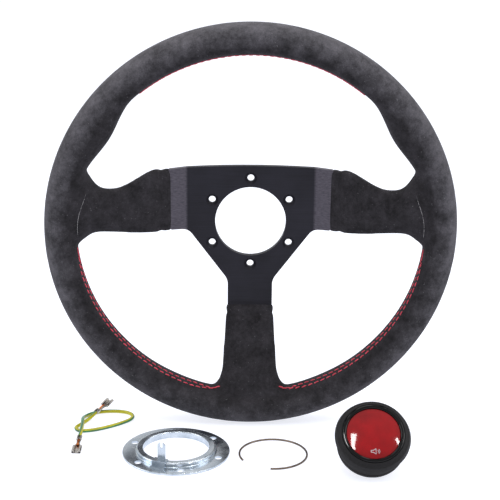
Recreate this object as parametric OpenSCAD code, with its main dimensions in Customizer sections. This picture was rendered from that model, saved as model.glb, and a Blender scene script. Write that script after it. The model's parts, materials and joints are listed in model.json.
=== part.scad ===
// Dished three-spoke competition steering wheel, with the horn-button kit that belongs to it.
// The origin is the centre of the hub bolt circle, on the back face of the spoke plate.
// +Z is up and the driver sits towards -Y. The kit lies on the surface that the rim touches.

/* [Rim] */
// Outside diameter of the rim
wheel_od = 320; // [260:1:400]
// Width of the grip in the plane of the rim
grip_w = 25; // [20:0.1:34]
// Thickness of the grip from front to back
grip_t = 33; // [23:0.1:38]
// Distance from the hub face forward to the middle of the rim
dish = 27; // [22:0.5:60]
// Thickness of the suede cover
cover_t = 1.4; // [0.8:0.1:2.4]
// Extra width of each thumb rest, towards the hub
thumb_swell = 6.4; // [2:0.1:9]
// Height of each thumb rest above the horizontal, in degrees
thumb_angle = 33; // [26:1:40]
// Half of the stretch that each thumb rest takes up, in degrees
thumb_spread = 16; // [10:1:20]
// Width of the flat hoop inside the grip
hoop_w = 12; // [8:0.5:14]
// Thickness of the hoop
hoop_t = 4; // [2:0.5:6]

/* [Spoke plate] */
// Thickness of the plate
plate_t = 5; // [3:0.5:8]
// Diameter of the centre bore
hub_bore_d = 56; // [40:1:60]
// Diameter of the hub bolt circle
bolt_pcd = 70; // [66:1:76]
// Diameter of a hub screw hole
bolt_hole_d = 5.5; // [4:0.1:6.5]
// Diameter of a countersink at the face
sink_d = 9.6; // [8:0.1:11]
// Distance from the centre to the bend of a side arm
side_bend = 50; // [46:1:58]
// Distance from the centre down to the bend of the lower arm
lower_bend = 66; // [60:1:72]
// Height of the plate's top edge above the centre
plate_top = 45; // [43:0.5:52]
// Radius of the plate's gently arched top edge
top_edge_r = 847; // [400:1:1200]
// Depth of the side arms' lower edge below the centre
arm_low = 6.2; // [4:0.1:12]
// Half width of the lower arm
lower_half = 17.8; // [14:0.1:22]
// Diameter of a rivet between an arm and the hoop
rivet_d = 5; // [3:0.5:6]

/* [Spoke sleeves] */
// Distance from the centre to the start of a side sleeve
sleeve_start = 62; // [60:1:70]
// Distance from the centre down to the start of the lower sleeve
lower_sleeve_start = 68.5; // [67:0.5:76]
// Thickness of padding and suede on each face of an arm
sleeve_wall = 1.7; // [1:0.1:3]
// Suede around the edge of an arm
sleeve_edge = 1.1; // [0.8:0.1:2.5]
// Height of a side sleeve's top edge at its narrowest place
neck_top = 28; // [22:0.5:34]

/* [Stitching] */
// Thickness of the thread
thread_d = 0.9; // [0.5:0.1:1.4]
// Angle of the inner row round the grip, from its innermost line towards the driver
row_a = 5; // [0:1:12]
// Angle of the outer row round the grip
row_b = 29; // [20:1:40]

/* [Horn button] */
// Diameter of the button's body
body_d = 50; // [42:0.5:60]
// Diameter of the button's soft flange
flange_d = 57; // [50:0.5:72]
// Length of the body behind the flange
body_l = 15; // [13:0.5:20]
// Thickness of the flange
flange_t = 7; // [5:0.5:10]
// Thickness of the body's wall beside the cap
body_wall = 1.8; // [1.2:0.1:3]
// How far the cap can be pressed in
press_travel = 2; // [1:0.1:3]
// Lean of the button's face above the horizontal, in degrees
button_lean = 48; // [30:1:60]
// Width of a male spade blade
spade_w = 6.3; // [4.8:0.1:6.3]
// Thickness of a male spade blade
spade_t = 0.8; // [0.5:0.1:1]

/* [Retaining ring] */
// Outside diameter of the ring's flange
ring_od = 82; // [80:0.5:100]
// Thickness of the ring's sheet
ring_t = 1.5; // [1:0.1:2]
// Height of the raised collar
collar_h = 5; // [4:0.5:8]
// Outside diameter of the raised collar
collar_d = 61; // [59:0.5:63]
// Height of the ring's spade above the collar
ring_spade_h = 13.5; // [8:0.5:18]

/* [Snap ring and lead] */
// Outside diameter of the snap ring
snap_od = 53; // [44:0.5:64]
// Thickness of the snap ring's wire
snap_wire_d = 1.5; // [1:0.1:2.5]
// Opening of the snap ring, in degrees
snap_gap = 59; // [20:1:90]
// Diameter of the insulated lead
lead_d = 2.8; // [2:0.1:3.2]

/* [Fits] */
// Radial gap between the sliding cap and its housing
cap_gap = 0.3; // [0.2:0.05:0.6]
// Radial gap between the button's body and the retaining ring
seat_gap = 0.3; // [0.1:0.05:0.6]
// Gap left at a stop or between two loose pieces
rest_gap = 0.3; // [0.2:0.05:0.6]

/* [Hidden] */
$fn = 72;

// Overlap that joins pieces of one solid, and how far a cut passes a face
join = 0.01;
past = 1;

// Rim
rim_r = wheel_od / 2;
rim_mid_r = rim_r - grip_w / 2;
rim_in_r = rim_r - grip_w;
grip_round = min(grip_w, grip_t) / 2;
upper_end = 4;                       // the cover joints lie this far below the side arms
pad_rings = 12;
pad_steps = 12;
pad_reach = 85;                      // half of the grip's round that a thumb rest covers, in degrees
pad_seat = 0.4;
pad_skin = 0.5;

// Arms: each steps forward from its bend to a tongue that laps the hoop
tongue_in = rim_mid_r - hoop_w / 2 - 12;
tongue_out = rim_mid_r + hoop_w / 2;
tongue_top = 22;
tongue_low = -2;
arm_top_in = plate_top - sleeve_edge - 2;
diagonal_top = [49.3, -arm_low];
diagonal_low = [lower_half, -48.1];
rivet_spread = 2.6;                  // half the angle between two rivets of one arm
rivet_head_d = rivet_d * 1.6;
rivet_head_h = 1.4;

// Sleeves
rim_end_t = 22;                      // thickness of a sleeve where it meets the rim

// Stitching, as angles round the wheel
upper_rows = [52, 128];
left_rows = [187, 259];
right_rows = [281, 353];

// Button, measured forward from the back of its body
body_r = body_d / 2;
front_s = body_l + flange_t;
base_t = 2.5;
base_r = body_r - 3;
ledge_w = 3.5;
ledge_t = 1.5;
base_fit = 0.05;
cap_bore_r = body_r - body_wall;
cap_r = cap_bore_r - cap_gap;
cap_wall = 2;
cap_floor_s = front_s - 4;           // underside of the cap's front
badge_seat_s = front_s - 0.8;
badge_r = cap_r - 3.1;
badge_edge = 1;
badge_crown = 1.7;
stem_r = 3.9;
stem_hole_gap = 0.3;
clip_r = 6;
clip_t = 0.9;
stem_tail = 1;                       // stem left behind the clip
contact_t = 0.6;
contact_in_r = 8.5;
contact_out_r = 13.5;
contact_top_s = base_t + contact_t;
moving_s = contact_top_s + press_travel + rest_gap;
spring_r = 6;
spring_wire = 0.9;
spring_turns = 5;
spring_cup_t = 0.5;
spade_y = 12;
slot_gap = 0.1;
screw_circle_r = base_r - 1.7;
screw_r = 0.9;
screw_head_r = 1.6;
screw_head_h = 0.9;
groove_s = 4;
groove_w = 1.9;
groove_depth = 0.8;
// A blade this long rests on the surface while the body's lower edge does
spade_l = (body_r - spade_y - spade_t / 2) / tan(button_lean);

// The surface, and where the loose pieces lie on it
floor_z = -rim_r;
kit_y = -(dish + grip_t / 2);        // front of the rim
ring_x = -56.4;
ring_y = kit_y - 3.5 - ring_od / 2;
ring_turn = 7.7;
ring_bore_r = body_r + seat_gap;
snap_x = 17.7;
snap_y = kit_y - 49;
snap_turn = 264;
button_x = 89.7;
button_y = kit_y - 68;
button_z = floor_z + body_r * cos(button_lean);

// Lead: points on its centre line, each [x, y, height above the surface]
lead_route = [
    [-131.5, -73, 5.8], [-131.3, -67, 6.6], [-131.3, -60, 7], [-131.6, -53, 6.8],
    [-132.2, -46, 6.2], [-132.8, -39.5, 5.2], [-133, -33, 3.6], [-132, -27, 2.1],
    [-129, -21.8, 1.6], [-124.2, -18, 1.5], [-118.5, -16, 1.5], [-112, -15.2, 1.5],
    [-105.5, -15.6, 1.5], [-99.5, -17.6, 1.5], [-95.2, -21.6, 1.5], [-94, -27, 1.5],
    [-96.2, -32.4, 1.5], [-100.6, -37.2, 1.5], [-106, -41.8, 1.5], [-112, -46, 1.5],
    [-118.4, -49.8, 1.5], [-125, -52.6, 1.5], [-131.5, -53.8, 1.5], [-135.6, -52.1, 1.5],
    [-137.3, -48, 1.5], [-136.5, -45.1, 1.5], [-133.6, -40.2, 1.5], [-130.7, -35.2, 1.6],
    [-128.6, -31.8, 2.2], [-126.4, -28.2, 3.2], [-124, -24.5, 4.4]
];
lead_sides = 8;
front_terminal_turn = [0, 11.5, 267];
rear_terminal_turn = [0, -15, 57];
terminal_l = 20;

// ---- helpers ----

function unit(v) = v / norm(v);
function mix(a, b, t) = a + (b - a) * t;
function ease(t) = let (c = max(0, min(1, t))) c * c * (3 - 2 * c);
function half_turn(a) = a > 180 ? a - 360 : (a < -180 ? a + 360 : a);

// Points of the arc that rounds corner q, coming from p and going on to s
function rounded_corner(p, q, s, r, n) =
    let (u = unit(p - q), v = unit(s - q), half = acos(u * v) / 2,
        c = q + unit(u + v) * r / sin(half),
        a = q + u * r / tan(half) - c, b = q + v * r / tan(half) - c,
        from = atan2(a[1], a[0]), sweep = half_turn(atan2(b[1], b[0]) - from))
    [for (i = [0 : n]) c + r * [cos(from + sweep * i / n), sin(from + sweep * i / n)]];

// Outline of corners [x, y, radius]; a radius of 0 leaves the corner sharp
function rounded_outline(c, n = 6) = [for (i = [0 : len(c) - 1])
    let (p = c[(i + len(c) - 1) % len(c)], q = c[i], s = c[(i + 1) % len(c)])
    each (q[2] > 0
        ? rounded_corner([p[0], p[1]], [q[0], q[1]], [s[0], s[1]], q[2], n)
        : [[q[0], q[1]]])];

// Solid skin over a row of closed rings, each a list of the same even number of points
module skin(rings) {
    n = len(rings);
    m = len(rings[0]);
    polyhedron(
        points = [for (r = rings) each r],
        faces = concat(
            [for (j = [0 : m / 2 - 2]) [j, j + 1, m - 2 - j, m - 1 - j]],
            [for (i = [0 : n - 2]) for (j = [0 : m - 1])
                let (k = (j + 1) % m)
                each [[i * m + j, (i + 1) * m + j, (i + 1) * m + k],
                    [i * m + j, (i + 1) * m + k, i * m + k]]],
            [for (j = [0 : m / 2 - 2]) let (e = (n - 1) * m)
                [e + m - 1 - j, e + m - 2 - j, e + j + 1, e + j]]));
}

// Round tube of radius r along a path
function path_dir(p, i) = unit(p[min(i + 1, len(p) - 1)] - p[max(i - 1, 0)]);
function tube_rings(p, r, sides) = [for (i = [0 : len(p) - 1])
    let (t = path_dir(p, i), a = unit(cross([0, 0, 1], t)), b = cross(t, a))
    [for (j = [0 : sides - 1]) p[i] + r * (a * cos(360 * j / sides) + b * sin(360 * j / sides))]];

// Turns the wheel's own frame (x right, y up, z towards the driver) into the part's frame
module stand_up() {
    rotate([90, 0, 0]) children();
}

module seat_button() {
    translate([button_x, button_y, button_z]) rotate([90 - button_lean, 0, 0]) children();
}

module seat_ring() {
    translate([ring_x, ring_y, floor_z]) rotate([0, 0, ring_turn]) children();
}

module on_bolt_circle(pcd) {
    for (i = [0 : 5]) rotate([0, 0, 90 + 60 * i]) translate([pcd / 2, 0, 0]) children();
}

// ---- wheel ----

// Section of the grip, shrunk by inset on every side
module grip_section(inset) {
    r = grip_round - inset;
    dx = grip_w / 2 - grip_round;
    dz = grip_t / 2 - grip_round;
    translate([rim_mid_r, dish]) {
        for (x = dx > 0 ? [-dx, dx] : [0]) for (z = dz > 0 ? [-dz, dz] : [0])
            translate([x, z]) circle(r);
        if (dx > 0) square([2 * dx, 2 * (dz + r)], center = true);
        if (dz > 0) square([2 * (dx + r), 2 * dz], center = true);
    }
}

module grip_ring(inset, from = 0, to = 360) {
    rotate([0, 0, from]) rotate_extrude(angle = to - from) grip_section(inset);
}

// Thumb rest: a crescent pad round the inner half of the grip, thickest at its middle
function pad_point(a, w, lift) =
    let (r = rim_mid_r - (grip_w / 2 - grip_round) - (grip_round + lift) * cos(w),
        z = (grip_t / 2 - grip_round) * max(-1, min(1, w / 10)) + (grip_round + lift) * sin(w))
    [r * cos(a), r * sin(a), dish + z];

function pad_ring(a) =
    let (full = thumb_swell * ease(1 - abs(a - thumb_angle) / thumb_spread))
    concat(
        [for (j = [0 : pad_steps]) let (w = pad_reach * (2 * j / pad_steps - 1))
            pad_point(a, w, pad_seat + pad_skin + full * ease(1 - abs(w) / pad_reach))],
        [for (j = [pad_steps : -1 : 0]) let (w = pad_reach * (2 * j / pad_steps - 1))
            pad_point(a, w, pad_seat)]);

module thumb_pad() {
    skin([for (i = [0 : pad_rings]) pad_ring(thumb_angle + thumb_spread * (2 * i / pad_rings - 1))]);
}

// Plan of the right half of the spoke plate, with its arm as long as the hoop needs
function plate_half() = rounded_outline([
    [0, plate_top + past, 0], [sleeve_start + 2, plate_top + past, 0],
    [sleeve_start + 2, arm_top_in, 0], [(sleeve_start + tongue_in) / 2 + 14, tongue_top, 30],
    [tongue_out, tongue_top, 0], [tongue_out, tongue_low, 0],
    [sleeve_start + 2, -arm_low + sleeve_edge, 0], [sleeve_start, -arm_low, 0],
    [diagonal_top[0], diagonal_top[1], 10], [diagonal_low[0], diagonal_low[1], 12],
    [lower_half, -lower_sleeve_start, 0],
    [lower_half - sleeve_edge, -lower_sleeve_start - 2, 0],
    [lower_half - 4, -tongue_out, 0], [0, -tongue_out, 0]]);

module plate_plan() {
    half = plate_half();
    intersection() {
        polygon(concat(half, [for (i = [len(half) - 2 : -1 : 1]) [-half[i][0], half[i][1]]]));
        translate([0, plate_top - top_edge_r]) circle(top_edge_r, $fn = 360);
    }
}

// Side view of an arm: flat at the hub, a slope, and a tongue behind the hoop
module arm_profile(bend) {
    polygon([[0, 0], [bend, 0], [tongue_in, dish - plate_t], [tongue_out, dish - plate_t],
        [tongue_out, dish], [tongue_in, dish], [bend, plate_t], [0, plate_t]]);
}

module plate_solid() {
    intersection() {
        translate([0, 0, -past]) linear_extrude(dish + 2 * past) plate_plan();
        union() {
            for (m = [0, 1]) mirror([m, 0, 0])
                translate([0, plate_top + past, 0]) rotate([90, 0, 0])
                    linear_extrude(plate_top + lower_bend + past) arm_profile(side_bend);
            translate([-lower_half - past, 0, 0]) rotate([90, 0, 90])
                linear_extrude(2 * (lower_half + past)) mirror([1, 0]) arm_profile(lower_bend);
        }
    }
}

module rivets() {
    for (a = [4, 176, 270]) for (s = [-1, 1])
        rotate([0, 0, a + s * rivet_spread]) translate([rim_mid_r, 0, 0]) {
            translate([0, 0, dish - plate_t - rivet_head_h])
                cylinder(d = rivet_head_d, h = rivet_head_h);
            translate([0, 0, dish - plate_t - join])
                cylinder(d = rivet_d, h = plate_t + hoop_t + 2 * join);
            translate([0, 0, dish + hoop_t]) cylinder(d = rivet_head_d, h = rivet_head_h);
        }
}

module rivet_holes() {
    for (a = [4, 176, 270]) for (s = [-1, 1])
        rotate([0, 0, a + s * rivet_spread]) translate([rim_mid_r, 0, dish - plate_t - past])
            cylinder(d = rivet_d, h = plate_t + hoop_t + 2 * past);
}

module hoop_solid() {
    difference() {
        rotate_extrude() translate([rim_mid_r - hoop_w / 2, dish]) square([hoop_w, hoop_t]);
        rivet_holes();
    }
}

module spoke_plate() {
    color([0.13, 0.12, 0.14]) stand_up() difference() {
        plate_solid();
        translate([0, 0, -past]) cylinder(d = hub_bore_d, h = plate_t + 2 * past);
        on_bolt_circle(bolt_pcd) {
            translate([0, 0, -past]) cylinder(d = bolt_hole_d, h = plate_t + 2 * past);
            translate([0, 0, plate_t - (sink_d - bolt_hole_d) / 2])
                cylinder(d1 = bolt_hole_d, d2 = sink_d + 2 * join, h = (sink_d - bolt_hole_d) / 2 + join);
        }
        rivet_holes();
    }
}

module rim_hoop() {
    color([0.45, 0.46, 0.48]) stand_up() hoop_solid();
}

module arm_rivets() {
    color([0.7, 0.7, 0.72]) stand_up() rivets();
}

module grip_foam() {
    color([0.2, 0.2, 0.2]) stand_up() difference() {
        grip_ring(cover_t);
        hoop_solid();
        plate_solid();
        rivets();
    }
}

// Two thread channels along the inside of the grip, one for each row
module row_path(angle, r, span) {
    dz = grip_t / 2 - grip_round;
    rotate([0, 0, span[0]]) rotate_extrude(angle = span[1] - span[0])
        translate([rim_in_r + grip_round * (1 - cos(angle)), dish + dz + grip_round * sin(angle)])
            circle(r, $fn = 24);
}

module thread_rows(r, span) {
    row_path(row_a, r, span);
    row_path(row_b, r, span);
}

module cover(from, to, rows) {
    color([0.17, 0.16, 0.17]) stand_up() difference() {
        grip_ring(0, from, to);
        grip_ring(cover_t);
        plate_solid();
        thread_rows(thread_d / 2, rows);
    }
}

module cover_upper() {
    cover(-upper_end, 180 + upper_end, upper_rows);
}

module thumb_rest_right() {
    color([0.17, 0.16, 0.17]) stand_up() thumb_pad();
}

module thumb_rest_left() {
    mirror([1, 0, 0]) thumb_rest_right();
}

module cover_lower_left() {
    cover(180 + upper_end, 270, left_rows);
}

module cover_lower_right() {
    cover(270, 360 - upper_end, right_rows);
}

module stitching(rows) {
    color([0.72, 0.06, 0.13]) stand_up() thread_rows(thread_d / 2, rows);
}

module stitching_upper() {
    stitching(upper_rows);
}

module stitching_lower_left() {
    stitching(left_rows);
}

module stitching_lower_right() {
    stitching(right_rows);
}

// ---- sleeves ----

// Side view of a sleeve: the arm's own slope with padding that swells towards the rim
module sleeve_profile(start, bend) {
    rise = (dish - plate_t) / (tongue_in - bend);
    low = (start - bend) * rise;
    swell_a = mix(start, rim_in_r, 0.55);
    swell_low = (swell_a - bend) * rise;
    polygon([[start, low - sleeve_wall], [swell_a, swell_low - sleeve_wall],
        [rim_in_r, dish - rim_end_t / 2], [rim_mid_r, dish - rim_end_t / 2],
        [rim_mid_r, dish + rim_end_t / 2], [rim_in_r, dish + rim_end_t / 2],
        [swell_a, swell_low + plate_t + sleeve_wall], [start, low + plate_t + sleeve_wall]]);
}

// Distance along an arm at which the rim's inner edge is y away from the arm's middle line
function rim_at(y) = sqrt(rim_in_r * rim_in_r - y * y);

// Plan of the right sleeve: it narrows from the plate, then flares where it meets the rim
module side_sleeve_plan() {
    high = plate_top - 1.6;
    low = -arm_low - sleeve_edge;
    neck_a = mix(sleeve_start, rim_in_r, 0.64);
    flare_a = rim_at(neck_top + 12);
    flare_r = min(11, 0.5 * (flare_a - neck_a));
    polygon(rounded_outline([
        [sleeve_start, high, 0], [mix(sleeve_start, rim_in_r, 0.2), high, 20],
        [neck_a, neck_top, 14], [flare_a, neck_top, flare_r], [flare_a, high + past, 0],
        [rim_mid_r, high + past, 0], [rim_mid_r, low - 12, 0], [rim_at(low - 6), low - 12, 0],
        [rim_at(low - 6), low - 1.2, 5], [sleeve_start + 20, low - 1.2, 0], [sleeve_start, low, 0]]));
}

module lower_sleeve_plan() {
    half = lower_half + sleeve_edge;
    wide = half + 3.6;
    flare_a = rim_at(wide + 6);
    polygon(rounded_outline([
        [lower_sleeve_start, half, 0], [flare_a, wide, 6], [flare_a, wide + 14, 0],
        [rim_mid_r, wide + 14, 0], [rim_mid_r, -wide - 14, 0], [flare_a, -wide - 14, 0],
        [flare_a, -wide, 6], [lower_sleeve_start, -half, 0]]));
}

module sleeve_solid(start, bend, width) {
    difference() {
        intersection() {
            translate([0, 0, -past]) linear_extrude(2 * dish + grip_t) children();
            translate([0, width, 0]) rotate([90, 0, 0])
                linear_extrude(2 * width) sleeve_profile(start, bend);
            cylinder(r = rim_mid_r - 3, h = 2 * dish + grip_t);
        }
        grip_ring(0);
    }
}

module sleeve_right() {
    color([0.16, 0.15, 0.16]) stand_up() difference() {
        sleeve_solid(sleeve_start, side_bend, plate_top * 2) side_sleeve_plan();
        plate_solid();
        thread_rows(thread_d / 2, right_rows);
    }
}

module sleeve_left() {
    mirror([1, 0, 0]) sleeve_right();
}

module sleeve_lower() {
    color([0.16, 0.15, 0.16]) stand_up() difference() {
        rotate([0, 0, -90])
            sleeve_solid(lower_sleeve_start, lower_bend, plate_top * 2) lower_sleeve_plan();
        plate_solid();
        thread_rows(thread_d / 2, left_rows);
        thread_rows(thread_d / 2, right_rows);
    }
}

// ---- horn button, along its own +Z from the back of the body to the face ----

module button_housing() {
    edge_r = 2.6;
    color([0.12, 0.12, 0.13]) seat_button() difference() {
        rotate_extrude() polygon(rounded_outline([
            [base_r + base_fit, 0, 0], [body_r, 0, 0], [body_r, groove_s, 0],
            [body_r - groove_depth, groove_s, 0], [body_r - groove_depth, groove_s + groove_w, 0],
            [body_r, groove_s + groove_w, 0], [body_r, body_l, 0],
            [flange_d / 2, body_l, edge_r / 2], [flange_d / 2, front_s, edge_r],
            [cap_bore_r, front_s, 0], [cap_bore_r, base_t + ledge_t, 0],
            [cap_bore_r - ledge_w, base_t + ledge_t, 0], [cap_bore_r - ledge_w, base_t, 0],
            [base_r + base_fit, base_t, 0]]));
        base_screw_places() translate([0, 0, base_t - past]) cylinder(r = screw_r, h = ledge_t + 2 * past);
    }
}

module base_screw_places() {
    for (a = [0, 120, 240]) rotate([0, 0, a + 30]) translate([screw_circle_r, 0, 0]) children();
}

module spade_blade(y, top) {
    difference() {
        translate([-spade_w / 2, y - spade_t / 2, -spade_l]) cube([spade_w, spade_t, spade_l + top]);
        translate([0, y, -spade_l + 4]) rotate([90, 0, 0]) cylinder(d = 1.6, h = 2 * spade_t, center = true);
        for (s = [-1, 1]) translate([s * spade_w / 2, y, -spade_l]) rotate([0, 45, 0])
            cube([1.4, 2 * spade_t, 1.4], center = true);
    }
}

module button_base() {
    color([0.36, 0.22, 0.13]) seat_button() difference() {
        cylinder(r = base_r, h = base_t);
        translate([0, 0, -past]) cylinder(r = stem_r + stem_hole_gap, h = base_t + 2 * past);
        for (y = [-spade_y, spade_y]) translate([-spade_w / 2 - slot_gap, y - spade_t / 2 - slot_gap, -past])
            cube([spade_w + 2 * slot_gap, spade_t + 2 * slot_gap, base_t + 2 * past]);
        base_screw_places() translate([0, 0, -past]) cylinder(r = screw_r, h = base_t + 2 * past);
    }
}

module base_screws() {
    color([0.78, 0.78, 0.8]) seat_button() base_screw_places() difference() {
        union() {
            translate([0, 0, -screw_head_h]) cylinder(r = screw_head_r, h = screw_head_h);
            translate([0, 0, -join]) cylinder(r = screw_r, h = base_t + ledge_t + join);
        }
        translate([-screw_head_r, -0.25, -screw_head_h - join]) cube([2 * screw_head_r, 0.5, 0.4]);
    }
}

module fixed_contact() {
    color([0.8, 0.66, 0.3]) seat_button() translate([0, 0, base_t]) difference() {
        cylinder(r = contact_out_r, h = contact_t);
        translate([0, 0, -past]) cylinder(r = contact_in_r, h = contact_t + 2 * past);
        translate([-spade_w / 2 - past, 0, -past]) cube([spade_w + 2 * past, body_r, contact_t + 2 * past]);
    }
}

module live_spade() {
    color([0.8, 0.66, 0.3]) seat_button() spade_blade(-spade_y, base_t);
}

module earth_spade() {
    strap_w = spade_w - 1;
    color([0.8, 0.66, 0.3]) seat_button() {
        spade_blade(spade_y, base_t + spring_cup_t);
        translate([0, 0, base_t]) difference() {
            union() {
                cylinder(r = spring_r + 1.4, h = spring_cup_t);
                translate([-strap_w / 2, 0, 0]) cube([strap_w, spade_y, spring_cup_t]);
            }
            translate([0, 0, -past]) cylinder(r = stem_r + stem_hole_gap, h = 2 * past);
        }
    }
}

module button_cap() {
    ring_in = badge_r + 0.1;
    color([0.03, 0.03, 0.03]) seat_button() {
        rotate_extrude() polygon(rounded_outline([
            [0, cap_floor_s, 0], [contact_in_r + 0.5, cap_floor_s, 0],
            [contact_in_r + 0.5, moving_s + contact_t, 0], [contact_out_r - 1, moving_s + contact_t, 0],
            [contact_out_r - 1, cap_floor_s, 0], [cap_r - cap_wall, cap_floor_s, 0],
            [cap_r - cap_wall, base_t + ledge_t + press_travel + 2, 0],
            [cap_r, base_t + ledge_t + press_travel + 2, 0], [cap_r, front_s + 1.5, 1.3],
            [ring_in, front_s + 1.5, 1.2], [ring_in, badge_seat_s, 0], [0, badge_seat_s, 0]]));
        translate([0, 0, -rest_gap - clip_t - stem_tail])
            cylinder(r = stem_r, h = cap_floor_s + rest_gap + clip_t + stem_tail + join);
    }
}

module moving_contact() {
    color([0.8, 0.66, 0.3]) seat_button() translate([0, 0, moving_s]) difference() {
        cylinder(r = contact_out_r - 0.5, h = contact_t);
        translate([0, 0, -past]) cylinder(r = contact_in_r, h = contact_t + 2 * past);
    }
}

module cap_badge() {
    crown_s = badge_seat_s + badge_edge + badge_crown;
    ball_r = (badge_r * badge_r + badge_crown * badge_crown) / (2 * badge_crown);
    color([0.68, 0.02, 0.04]) seat_button() intersection() {
        translate([0, 0, badge_seat_s]) cylinder(r = badge_r, h = badge_edge + badge_crown + past);
        translate([0, 0, crown_s - ball_r]) sphere(ball_r, $fn = 360);
    }
}

module stem_clip() {
    color([0.6, 0.6, 0.62]) seat_button() translate([0, 0, -rest_gap - clip_t]) difference() {
        cylinder(r = clip_r, h = clip_t);
        translate([0, 0, -past]) cylinder(r = stem_r, h = clip_t + 2 * past);
    }
}

module return_spring() {
    low = base_t + spring_cup_t + spring_wire / 2 + join;
    high = cap_floor_s - spring_wire / 2 - join;
    steps = spring_turns * 12;
    color([0.75, 0.75, 0.77]) seat_button() skin(tube_rings([for (i = [0 : steps])
        let (a = 360 * spring_turns * i / steps)
        [spring_r * cos(a), spring_r * sin(a), mix(low, high, i / steps)]], spring_wire / 2, 6));
}

// ---- retaining ring, snap ring and lead ----

module retaining_ring() {
    bend_r = 1.2;
    outer = collar_d / 2;
    color([0.74, 0.77, 0.8]) seat_ring() difference() {
        rotate_extrude() polygon(rounded_outline([
            [ring_bore_r, 0, 0], [ring_bore_r + ring_t, 0, 0],
            [ring_bore_r + ring_t, collar_h - ring_t, 0], [outer - ring_t, collar_h - ring_t, 0],
            [outer - ring_t, 0, bend_r], [ring_od / 2, 0, 0], [ring_od / 2, ring_t, 0.4],
            [outer, ring_t, 0.6], [outer, collar_h, bend_r], [ring_bore_r, collar_h, 0.7]]));
        on_bolt_circle(bolt_pcd) translate([0, 0, -past]) cylinder(d = bolt_hole_d, h = ring_t + 2 * past);
    }
}

// Bracket over the collar that carries an upright forked spade, midway between two holes
module ring_spade() {
    t = 1;
    w = 11;
    in_r = ring_bore_r + 0.2;
    out_r = collar_d / 2 + t;
    fork_w = 2;
    color([0.78, 0.8, 0.83]) seat_ring() rotate([0, 0, 240]) {
        translate([in_r, -w / 2, collar_h]) cube([out_r - in_r, w, t]);
        translate([out_r - t, -w / 2, ring_t]) cube([t, w, collar_h + t - ring_t]);
        translate([out_r - t, -w / 2, ring_t]) cube([4.5, w, t]);
        difference() {
            translate([in_r, -spade_w / 2, collar_h]) cube([spade_t, spade_w, ring_spade_h]);
            translate([in_r - past, -fork_w / 2, collar_h + ring_spade_h - 4])
                cube([spade_t + 2 * past, fork_w, 4 + past]);
            for (s = [-1, 1]) translate([in_r + spade_t / 2, s * spade_w / 2, collar_h + ring_spade_h])
                rotate([45, 0, 0]) cube([2 * spade_t, 2, 2], center = true);
        }
    }
}

module snap_ring() {
    color([0.38, 0.33, 0.3]) translate([snap_x, snap_y, floor_z + snap_wire_d / 2])
        rotate([0, 0, snap_turn]) rotate_extrude(angle = 360 - snap_gap)
            translate([(snap_od - snap_wire_d) / 2, 0]) circle(d = snap_wire_d, $fn = 32);
}

module earth_lead() {
    color([0.85, 0.82, 0.1]) skin(tube_rings(
        [for (p = lead_route) [p[0], p[1], floor_z + p[2]]], lead_d / 2, lead_sides));
}

// Push-on receptacle: insulation crimp, wire crimp, neck and a box with two rolled edges
module receptacle() {
    box_l = 8;
    box_w = 7.8;
    roll_r = 1.3;
    low = -1.6;
    rotate([0, 90, 0]) {
        cylinder(d = lead_d + 1, h = 4);
        translate([0, 0, 4 - join]) cylinder(d = lead_d - 0.6, h = 6);
        translate([0, 0, 5]) cylinder(d = lead_d, h = 3.6);
    }
    translate([4, -1.4, low]) cube([terminal_l - box_l - 4 + join, 2.8, 0.8]);
    translate([9.6 - join, -1.4, low]) cube([1, 2.8, 1.9]);
    translate([terminal_l - box_l, -box_w / 2 + roll_r, low]) cube([box_l, box_w - 2 * roll_r, 0.5]);
    for (s = [-1, 1]) translate([terminal_l - box_l, s * (box_w / 2 - roll_r), low + roll_r])
        rotate([0, 90, 0]) difference() {
            cylinder(r = roll_r, h = box_l);
            translate([0, 0, -past]) cylinder(r = roll_r - 0.5, h = box_l + 2 * past);
        }
}

module seat_terminal(place, turn) {
    color([0.72, 0.7, 0.66]) translate([place[0], place[1], floor_z + place[2]]) rotate(turn) receptacle();
}

module lead_terminal_front() {
    seat_terminal(lead_route[0], front_terminal_turn);
}

module lead_terminal_rear() {
    seat_terminal(lead_route[len(lead_route) - 1], rear_terminal_turn);
}

spoke_plate();
rim_hoop();
arm_rivets();
grip_foam();
cover_upper();
cover_lower_left();
cover_lower_right();
thumb_rest_left();
thumb_rest_right();
sleeve_left();
sleeve_right();
sleeve_lower();
stitching_upper();
stitching_lower_left();
stitching_lower_right();
button_housing();
button_base();
base_screws();
fixed_contact();
live_spade();
earth_spade();
button_cap();
moving_contact();
cap_badge();
stem_clip();
return_spring();
retaining_ring();
ring_spade();
snap_ring();
earth_lead();
lead_terminal_front();
lead_terminal_rear();
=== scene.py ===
import json
import math
import random
import bpy
from mathutils import Matrix, Vector
from mathutils.bvhtree import BVHTree


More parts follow.
